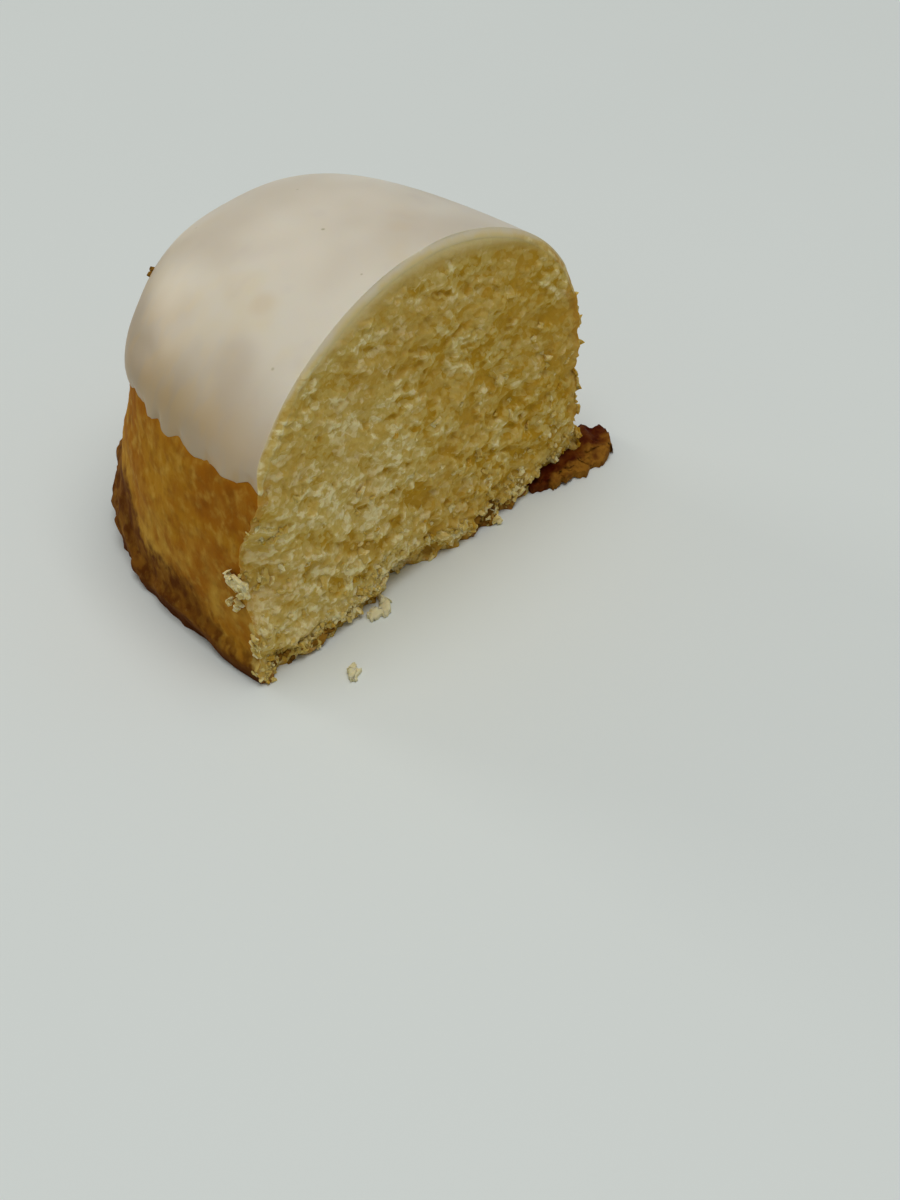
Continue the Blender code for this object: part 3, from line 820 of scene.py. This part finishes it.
def make_icing():
    icing = turned("lemon_icing", icing_outline(), ICING_STEPS)
    shell = places(icing)
    above = shell[:, 2] - HEM_HEIGHT
    shell = pressed_oval(dripping_hem(shell))
    move(icing, shell)
    icing.data.materials.append(lemon_icing())
    block, face, tone = facing_block("slicing_block", sliced)
    block.data.materials.append(sliced_icing())
    cut_away(icing, block)
    table = places(icing)
    note(icing, "above_hem_mm", above[nearest_points(table, shell)] / MM)
    note(icing, "tone", tone[nearest_points(table, face)])
    note(icing, "arch_mm", drawn_in(arch_distance(table[:, 0], table[:, 2]), table[:, 2]) / MM)
    rim_kept(icing, 60)
    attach(icing, "root")
    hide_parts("icing")


# ---- finishes

def put(tree, kind, settings=None, *first, **others):
    """Adds a node, with its settings and what goes into its sockets, by their order or by name."""
    node = tree.nodes.new("ShaderNode" + kind)
    for name, value in (settings or {}).items():
        setattr(node, name, value)
    for key, value in (*enumerate(first), *others.items()):
        socket = node.inputs[key.replace("_", " ") if isinstance(key, str) else key]
        if isinstance(value, bpy.types.NodeSocket):
            tree.links.new(value, socket)
        else:
            socket.default_value = value
    return node


def new_finish(name):
    finish = bpy.data.materials.new(name)
    finish.use_nodes = True
    tree = finish.node_tree
    return finish, tree, tree.nodes["Principled BSDF"]


def noted(tree, name):
    return put(tree, "Attribute", {"attribute_name": name}).outputs["Fac"]


def place_on(tree):
    return put(tree, "TexCoord").outputs["Object"]


def coordinate(tree, axis):
    return put(tree, "SeparateXYZ", Vector=place_on(tree)).outputs[axis]


def spotted(tree, scale, detail=3.0):
    """Noise over the object's own coordinates; scale is in waves for each millimetre."""
    return put(tree, "TexNoise", Vector=place_on(tree), Scale=scale / MM, Detail=detail).outputs["Fac"]


def ranged(tree, value, low, high, out_low=0.0, out_high=1.0):
    return put(tree, "MapRange", {"interpolation_type": "SMOOTHSTEP"}, Value=value,
               From_Min=low, From_Max=high, To_Min=out_low, To_Max=out_high).outputs["Result"]


def patchy(tree, scale, detail, *span):
    """Spots that fade in between two strengths of the noise."""
    return ranged(tree, spotted(tree, scale, detail), *span)


def by_height(tree, low, high, *ends):
    """A change between two heights in millimetres."""
    return ranged(tree, coordinate(tree, "Z"), low * MM, high * MM, *ends)


def behind_cut(tree, low, high, *ends):
    """A change between two distances behind the cut, in millimetres."""
    return ranged(tree, coordinate(tree, "Y"), CUT_Y + low * MM, CUT_Y + high * MM, *ends)


def combined(tree, operation, terms):
    result = terms[0]
    for term in terms[1:]:
        result = put(tree, "Math", {"operation": operation}, result, term).outputs[0]
    return result


def total(tree, *terms):
    return combined(tree, "ADD", terms)


def product(tree, *terms):
    return combined(tree, "MULTIPLY", terms)


def blend(tree, share, first, second, mode="MIX"):
    first = (*first, 1.0) if isinstance(first, tuple) else first
    second = (*second, 1.0) if isinstance(second, tuple) else second
    return put(tree, "MixRGB", {"blend_type": mode}, Fac=share, Color1=first,
               Color2=second).outputs["Color"]


def bumped(tree, shader, height, distance):
    bump = put(tree, "Bump", Height=height, Distance=distance, Strength=0.5)
    tree.links.new(bump.outputs["Normal"], shader.inputs["Normal"])


def surface(tree, shader, colour, roughness, gloss=0.5):
    tree.links.new(colour, shader.inputs["Base Color"])
    shader.inputs["Roughness"].default_value = roughness
    shader.inputs["Specular IOR Level"].default_value = gloss


def scatter(shader, weight, reach, tint):
    shader.inputs["Subsurface Weight"].default_value = weight
    shader.inputs["Subsurface Scale"].default_value = reach
    shader.inputs["Subsurface Radius"].default_value = tint


def streaked(tree, across, down, detail=4.0):
    """Noise drawn out up and down; the two numbers are waves for each millimetre."""
    drawn = put(tree, "Mapping", Vector=place_on(tree), Scale=(across / MM, across / MM, down / MM),
                Rotation=(0.0, math.radians(12), 0.0))
    return put(tree, "TexNoise", Vector=drawn.outputs["Vector"], Scale=1.0, Detail=detail,
               Roughness=0.6).outputs["Fac"]


def grains(tree, per_mm, stretch):
    """Uneven cells drawn out along the crumb's slant: a random value, and how near its middle."""
    place = place_on(tree)
    bent = put(tree, "TexNoise", Vector=place, Scale=1.1 * per_mm / MM, Detail=2.0).outputs["Color"]
    bent = put(tree, "VectorMath", {"operation": "MULTIPLY_ADD"}, bent, (0.7 * MM / per_mm,) * 3, place)
    drawn = put(tree, "Mapping", {"vector_type": "TEXTURE"}, Vector=bent.outputs["Vector"],
                Rotation=(0.0, -PORE_SLANT, 0.0), Scale=(stretch * MM / per_mm, MM / per_mm, MM / per_mm))
    cell = put(tree, "TexVoronoi", Vector=drawn.outputs["Vector"], Scale=1.0)
    value = put(tree, "SeparateColor", Color=cell.outputs["Color"]).outputs["Red"]
    return value, cell.outputs["Distance"]


def crumb_colour(tree):
    tone = total(tree, noted(tree, "tone"), ranged(tree, grains(tree, 1.05, 1.7)[0], 0.45, 0.95, -0.20, 0.36),
                 ranged(tree, grains(tree, 1.9, 1.3)[0], 0.4, 0.95, -0.14, 0.28))
    # amber for pockets and pale for flecks: partly the crumb's own colour, partly painted shade and painted light
    colour = blend(tree, ranged(tree, tone, -0.7, 0.05), CRUMB_AMBER_AND_SHADED, CRUMB_MIDDLE)
    colour = blend(tree, ranged(tree, tone, 0.05, 0.95), colour, CRUMB_PALE_AND_LIT)
    return blend(tree, patchy(tree, 2.6, 2.0, 0.35, 0.7, 0.0, 0.5), colour, CRUMB_SHADE, "MULTIPLY")


def yellow_crumb():
    """The torn face, with its rind, its soaked arch under the icing and its browned bottom."""
    finish, tree, shader = new_finish("yellow crumb")
    colour = blend(tree, patchy(tree, 0.13, 2.0, 0.42, 0.68, 0.0, 0.45), crumb_colour(tree), CRUMB_GOLDEN)
    along = coordinate(tree, "X")
    rind = product(tree, ranged(tree, noted(tree, "rind_mm"), 0.3, 2.4, 0.75, 0.0),
                   ranged(tree, along, -10.0 * MM, 10.0 * MM, 0.25, 1.0))
    colour = blend(tree, product(tree, rind, by_height(tree, 27.0, 20.0)), colour, RIND_TAN)
    iced = by_height(tree, 24.0, 28.0)
    close = product(tree, ranged(tree, noted(tree, "arch_mm"), 2.2, 4.0, 0.8, 0.0), iced)
    colour = blend(tree, close, colour, CRUMB_CLOSE)
    soaked = ranged(tree, total(tree, noted(tree, "arch_mm"), spotted(tree, 0.25)), 1.5, 2.9, 0.95, 0.0)
    colour = blend(tree, product(tree, soaked, iced), colour, CRUMB_SOAKED)
    near_wall = total(tree, noted(tree, "rind_mm"), patchy(tree, 0.9, 4.0, 0.3, 0.7, -0.5, 0.5),
                      by_height(tree, 16.0, 20.0, 0.0, -0.9))
    edge = product(tree, ranged(tree, near_wall, 0.05, 0.4, 0.7, 0.0), by_height(tree, 26.0, 24.0))
    colour = blend(tree, edge, colour, RIND_AMBER)
    crusty = total(tree, ranged(tree, along, -16.0 * MM, -18.5 * MM), ranged(tree, along, 4.0 * MM, 8.0 * MM))
    bottom = product(tree, by_height(tree, 0.3, 1.5, 0.9, 0.0), patchy(tree, 0.45, 3.0, 0.40, 0.56))
    colour = blend(tree, product(tree, bottom, crusty), colour, BOTTOM_BROWN)
    surface(tree, shader, colour, 0.85, 0.06)
    scatter(shader, 0.6, 0.7 * MM, (1.0, 0.75, 0.35))
    bumped(tree, shader, total(tree, grains(tree, 1.5, 1.5)[1], grains(tree, 3.0, 1.2)[1]), -0.10 * MM)
    return finish


def loose_crumb():
    """Crumbs: like the torn face, and paler the higher their tone."""
    finish, tree, shader = new_finish("loose crumb")
    flaky = blend(tree, spotted(tree, 1.5), *FLAKE_COLOURS)
    surface(tree, shader, blend(tree, ranged(tree, noted(tree, "tone"), 0.6, 1.1), crumb_colour(tree), flaky),
            0.85, 0.08)
    scatter(shader, 0.5, 0.45 * MM, (1.0, 0.85, 0.55))
    bumped(tree, shader, spotted(tree, 3.0), 0.06 * MM)
    return finish


def browned_crust():
    """The wall: brown, golden lower down, worn to crumb beside the cut, and dark at the lip."""
    finish, tree, shader = new_finish("browned crust")
    colour = blend(tree, patchy(tree, 0.14, 3.0, 0.38, 0.62), *CRUST_COLOURS)
    golden = product(tree, by_height(tree, 17.0, 7.0), patchy(tree, 0.22, 4.0, 0.38, 0.62, 0.1, 1.0))
    worn = total(tree, behind_cut(tree, 0.0, 2.8, 0.33, -0.2), spotted(tree, 0.7, 5.0),
                 by_height(tree, 13.5, 16.0, 0.0, -0.5))
    lip = total(tree, noted(tree, "brown"), patchy(tree, 0.8, 3.0, 0.3, 0.7, -0.28, 0.28))
    lip_colour = blend(tree, patchy(tree, 0.6, 6.0, 0.36, 0.66), *LIP_COLOURS)
    lip_colour = blend(tree, patchy(tree, 1.1, 4.0, 0.62, 0.80, 0.0, 0.5), lip_colour, LIP_SPECK)
    for share, over in ((golden, CRUST_GOLDEN),
                        (ranged(tree, streaked(tree, 0.45, 0.25), 0.45, 0.75, 0.0, 0.3), CRUST_STREAK),
                        (patchy(tree, 0.7, 5.0, 0.46, 0.74, 0.0, 0.55), CRUST_SPOT),
                        (patchy(tree, 0.5, 5.0, 0.48, 0.70, 0.0, 0.5), CRUST_DULL),
                        (ranged(tree, worn, 0.60, 0.80, 0.0, 0.9), CRUMB_MIDDLE),
                        (ranged(tree, lip, -0.05, 1.0), lip_colour),
                        (by_height(tree, 0.4, 2.6, 0.88, 0.0), FOOT_DARK)):
        colour = blend(tree, share, colour, over)
    surface(tree, shader, colour, 0.7, 0.02)
    scatter(shader, 0.2, 0.8 * MM, (1.0, 0.5, 0.15))
    bumped(tree, shader, total(tree, spotted(tree, 0.9, 6.0), streaked(tree, 0.6, 0.25)), 0.16 * MM)
    return finish


def browned_scrap(name, browns, golden_y):
    """Bottom crust, which is golden in front of a place along Y."""
    finish, tree, shader = new_finish(name)
    front = total(tree, coordinate(tree, "Y"), patchy(tree, 0.5, 4.0, 0.3, 0.7, -0.8 * MM, 0.8 * MM))
    golden = product(tree, ranged(tree, front, golden_y + 1.8 * MM, golden_y),
                     patchy(tree, 0.9, 4.0, 0.35, 0.6, 0.4, 1.0))
    colour = blend(tree, patchy(tree, 0.6, 4.0, 0.35, 0.65), *browns)
    surface(tree, shader, blend(tree, golden, colour, SCRAP_GOLDEN), 0.55, 0.03)
    bumped(tree, shader, spotted(tree, 2.0, 4.0), 0.1 * MM)
    return finish


def lemon_icing():
    """Cream icing; down the dome it gets thinner and the crust shows through, and it darkens there with painted shade
    where the dome turns away from the light.
    """
    finish, tree, shader = new_finish("lemon icing")
    level = total(tree, coordinate(tree, "Z"), patchy(tree, 0.10, 2.0, 0.3, 0.7, -1.0 * MM, 1.0 * MM),
                  behind_cut(tree, 2.0, 12.0, THIN_AND_SHADE_SPARED, 0.0))
    # darker down the dome: partly crust showing through the thin icing, partly painted shade
    thin_and_shaded = product(tree, ranged(tree, level, THIN_AND_SHADE_FROM, THIN_AND_SHADE_TO), behind_cut(tree, 3.0, 16.0, 0.55, 1.0))
    runs = ranged(tree, streaked(tree, 0.30, 0.05, 2.0), 0.42, 0.60)
    colour = blend(tree, patchy(tree, 0.05, 2.0, 0.38, 0.62), *ICING_COLOURS)
    for share, tint in ((thin_and_shaded, blend(tree, behind_cut(tree, 4.0, 14.0), *CRUST_THROUGH_AND_SHADE)),
                        (thin_and_shaded, blend(tree, runs, *RUN_TINTS)),
                        (patchy(tree, 0.11, 2.0, 0.55, 0.75, 0.0, 0.5), YELLOW_CLOUD),
                        (patchy(tree, 0.16, 2.0, 0.58, 0.72, 0.0, 0.3), GREY_CLOUD)):
        colour = blend(tree, share, colour, tint, "MULTIPLY")
    hem = product(tree, ranged(tree, noted(tree, "above_hem_mm"), 0.0, 2.2, 0.7, 0.0),
                  ranged(tree, streaked(tree, 0.55, 0.1, 2.0), 0.35, 0.7))
    colour = blend(tree, hem, colour, HEM_TAN)
    for place, radius, tint, strength in ICING_SPECKS:
        away = put(tree, "VectorMath", {"operation": "DISTANCE"}, place_on(tree), place).outputs["Value"]
        colour = blend(tree, ranged(tree, away, 0.3 * radius, radius, strength, 0.0), colour, tint)
    surface(tree, shader, colour, 0.38, 0.4)
    scatter(shader, 0.6, 1.4 * MM, (1.0, 0.8, 0.5))
    return finish


def sliced_icing():
    """The icing's cut edge, which goes over into the crumb."""
    finish, tree, shader = new_finish("sliced icing")
    inward = total(tree, noted(tree, "arch_mm"), patchy(tree, 0.4, 3.0, 0.3, 0.7, -0.2, 0.2))
    low = by_height(tree, 37.0, 31.0)
    colour = blend(tree, ranged(tree, inward, 0.0, 1.0), blend(tree, low, *SLICED_COLOURS),
                   blend(tree, low, CRUMB_SOAKED, crumb_colour(tree)))
    surface(tree, shader, colour, 0.5, 0.3)
    scatter(shader, 0.5, 0.6 * MM, (1.0, 0.85, 0.55))
    return finish


def pale_floor():
    finish, tree, shader = new_finish("pale floor")
    surface(tree, shader, blend(tree, spotted(tree, 0.02, 2.0), *FLOOR_COLOURS), 0.6)
    return finish


# ---- floor, light and camera

def make_floor():
    start()
    bpy.ops.mesh.primitive_plane_add(size=FLOOR_SIZE, location=(0.0, 0.0, 0.0))
    floor = bpy.context.object
    floor.name = floor.data.name = "floor"
    floor.data.materials.append(pale_floor())


def soft_lamp(name, place, aim, width, energy, tint):
    """A square soft light that faces a point."""
    start()
    bpy.ops.object.light_add(type="AREA", location=place)
    lamp = bpy.context.object
    lamp.name = name
    lamp.data.shape = "SQUARE"
    lamp.data.size = width
    lamp.data.energy = energy
    lamp.data.color = tint
    lamp.rotation_euler = (Vector(place) - Vector(aim)).to_track_quat("Z", "Y").to_euler()


def make_light():
    world = bpy.data.worlds.new("studio")
    bpy.context.scene.world = world
    world.use_nodes = True
    back = world.node_tree.nodes["Background"]
    back.inputs["Color"].default_value = SKY_COLOUR
    back.inputs["Strength"].default_value = SKY_STRENGTH
    for lamp in LAMPS:
        soft_lamp(*lamp)


def make_camera():
    start()
    bpy.ops.object.camera_add()
    camera = bpy.context.object
    camera.data.sensor_width = SENSOR_WIDTH
    camera.data.lens = FOCAL_PIXELS / PHOTO_HEIGHT * SENSOR_WIDTH
    camera.data.clip_start = 0.01
    camera.matrix_world = (Matrix.Translation(CAMERA_PLACE) @ Matrix.Rotation(CAMERA_TURN, 4, "Z")
                           @ Matrix.Rotation(math.pi / 2.0 - CAMERA_DOWN, 4, "X")
                           @ Matrix.Rotation(CAMERA_ROLL, 4, "Z"))
    bpy.context.scene.camera = camera
    bpy.context.scene.view_settings.view_transform = "Standard"


make_camera()
make_floor()
make_light()
cake = make_sponge()
make_icing()
make_crumbs(cake)
make_scraps()
